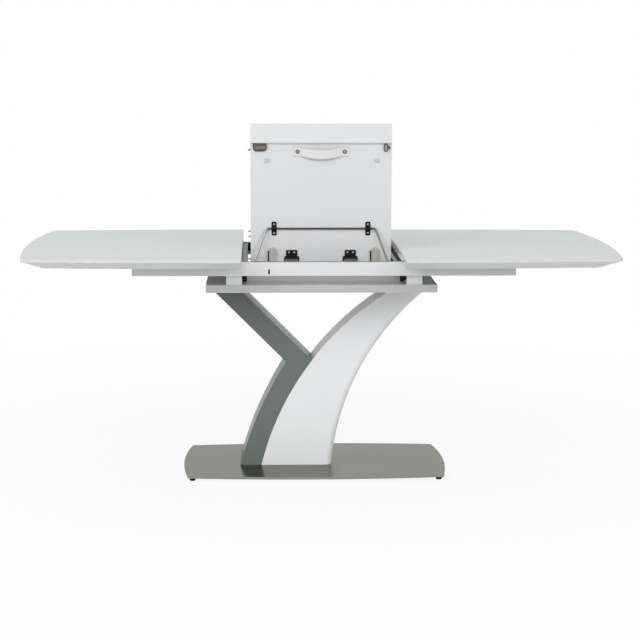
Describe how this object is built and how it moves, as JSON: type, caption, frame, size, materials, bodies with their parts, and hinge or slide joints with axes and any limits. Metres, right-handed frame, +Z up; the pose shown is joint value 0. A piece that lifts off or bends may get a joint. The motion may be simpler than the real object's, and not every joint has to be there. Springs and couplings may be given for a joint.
{
  "type": "extending dining table",
  "caption": "Extending pedestal dining table with sliding frosted glass halves, a folding butterfly leaf on a wire bail, a Y-shaped grey and white stand and a steel foot plate.",
  "frame": {"origin": "on the floor under the middle of the table top, halves drawn apart", "axes": "+X along the length to the right seen from the front, -Y towards the front (the side the picture is taken from), +Z up"},
  "size_m": [1.9168, 0.9, 1.157],
  "materials": {
    "glass_top": "satin etched, back painted white",
    "white_board": "gloss white lacquer on board",
    "white_frame": "satin white lacquer on board",
    "white_limb": "gloss white lacquer on board",
    "grey_limb": "gloss grey lacquer on board",
    "silver_plate": "silver lacquer on board",
    "foot_steel": "brushed",
    "black_plastic": "matte",
    "dark_metal": "satin dark powder coat",
    "black_metal": "satin black",
    "steel": "zinc plated",
    "bronze": "dark bronze plated",
    "brass": "turned",
    "nylon": "matte nylon",
    "beige_plastic": "matte",
    "white_plastic": "gloss",
    "strap": "soft pale strap"
  },
  "bodies": {
    "base": {"base_plate": "foot_steel", "base_foot_1": "black_plastic", "base_foot_2": "black_plastic", "base_foot_3": "black_plastic", "base_foot_4": "black_plastic", "grey_leg": "grey_limb", "white_leg": "white_limb", "leg_bolts": "steel", "upper_plate": "silver_plate", "plate_screws": "steel", "front_rail": "white_frame", "back_rail": "white_frame", "end_rail_left": "white_frame", "end_rail_right": "white_frame", "bearer_left": "white_frame", "bearer_right": "white_frame", "side_rail_left": "dark_metal", "side_rail_right": "dark_metal", "side_end_blocks": "black_plastic", "side_studs": "black_plastic", "channel_front": "black_metal", "channel_back": "black_metal", "rail_slot_plug": "black_plastic", "bail_bushes": "nylon"},
    "left_top": {"left_board": "white_board", "left_glass": "glass_top", "left_runner_front": "steel", "left_runner_back": "steel"},
    "right_top": {"right_board": "white_board", "right_glass": "glass_top", "right_runner_front": "steel", "right_runner_back": "steel", "right_pins": "brass"},
    "bail": {"bail_wire": "steel"},
    "leaf_front": {"leaf_front_board": "white_board", "leaf_front_glass": "glass_top", "leaf_front_pins": "brass", "clip_left": "black_metal", "clip_right": "black_metal", "hinge_front_left": "black_metal", "hinge_front_right": "black_metal", "hinge_pins": "steel", "hinge_strips": "steel", "bail_sleeves": "nylon", "leaf_front_screws": "steel", "guide_left": "beige_plastic", "guide_right": "beige_plastic", "guide_bars": "black_plastic", "pull_strap": "strap", "strap_washers": "bronze", "latch_base": "bronze", "catch": "bronze", "screw_covers": "white_plastic"},
    "leaf_back": {"leaf_back_board": "white_board", "leaf_back_glass": "glass_top", "leaf_back_pins": "brass", "hinge_back_left": "black_metal", "hinge_back_right": "black_metal", "leaf_back_screws": "steel"},
    "latch": {"latch_lever": "bronze"}
  },
  "joints": [
    {"name": "left_slide", "type": "slide", "parent": "base", "child": "left_top", "axis": [1, 0, 0], "range_m": [0, 0.028]},
    {"name": "right_slide", "type": "slide", "parent": "base", "child": "right_top", "axis": [-1, 0, 0], "range_m": [0, 0.028]},
    {"name": "bail_swing", "type": "hinge", "parent": "base", "child": "bail", "pos_m": [0, -0.22724, 0.72079], "axis": [1, 0, 0], "range_deg": [-67.27, 0]},
    {"name": "leaf_deploy", "type": "hinge", "parent": "bail", "child": "leaf_front", "pos_m": [0, -0.1943, 0.825], "axis": [1, 0, 0], "range_deg": [0, 157.26]},
    {"name": "leaf_unfold", "type": "hinge", "parent": "leaf_front", "child": "leaf_back", "pos_m": [0, -0.1694, 0.7066], "axis": [1, 0, 0], "range_deg": [-180.01, 0]},
    {"name": "latch_turn", "type": "hinge", "parent": "leaf_front", "child": "latch", "pos_m": [-0.208, -0.1955, 1.0835], "axis": [0, 1, 0], "range_deg": [0, 180]}
  ],
  "couplings": [
    {"joint": "bail_swing", "follows": "leaf_deploy", "ratio": -0.42769},
    {"joint": "leaf_unfold", "follows": "leaf_deploy", "ratio": -1.1446}
  ]
}
